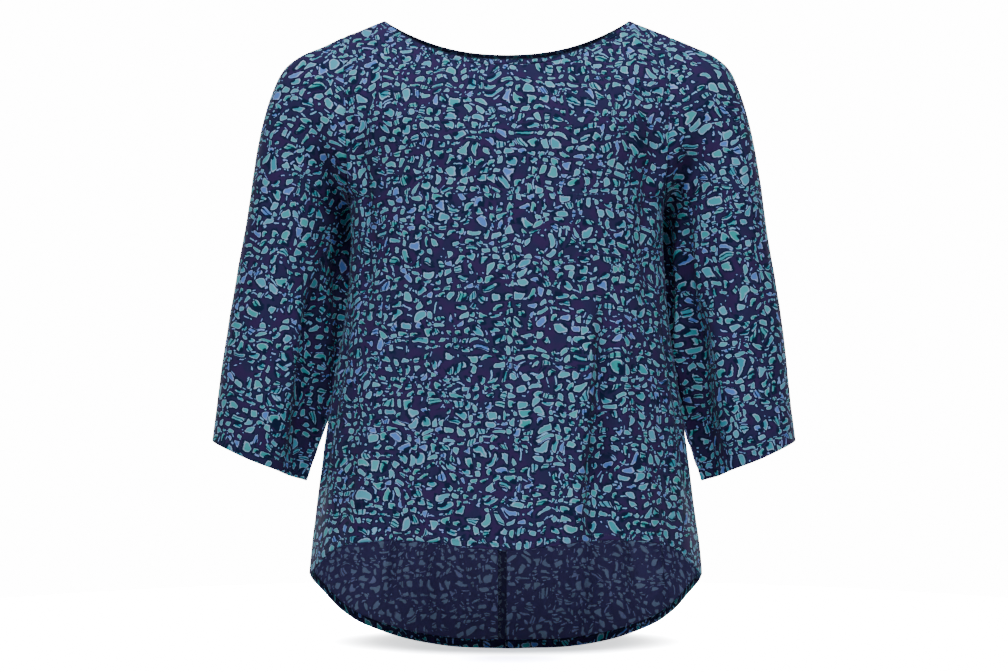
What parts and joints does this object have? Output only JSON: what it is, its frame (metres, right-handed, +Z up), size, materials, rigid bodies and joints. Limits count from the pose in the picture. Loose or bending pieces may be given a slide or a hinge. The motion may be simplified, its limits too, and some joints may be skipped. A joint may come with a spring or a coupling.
{
  "type": "blouse",
  "caption": "Woven printed pull-on top, hollow as worn, with a wide round neck, three-quarter sleeves and a dipped back hem.",
  "frame": {"origin": "midway between the two shoulder points at the neck, where the wearer's shoulders hold the garment up", "axes": "+Z up along the body, +X to the viewer's right when facing the front, the front faces -Y"},
  "size_m": [0.668, 0.3033, 0.7387],
  "materials": {
    "printed_cloth": "matt woven viscose, small dab print in teal and blue on dark indigo",
    "neck_binding": "matt woven viscose, the same print folded into a narrow binding"
  },
  "bodies": {
    "root": {"front": "printed_cloth", "back_left": "printed_cloth", "back_right": "printed_cloth", "sleeve_left": "printed_cloth", "sleeve_right": "printed_cloth", "neck_binding": "neck_binding"}
  },
  "joints": []
}
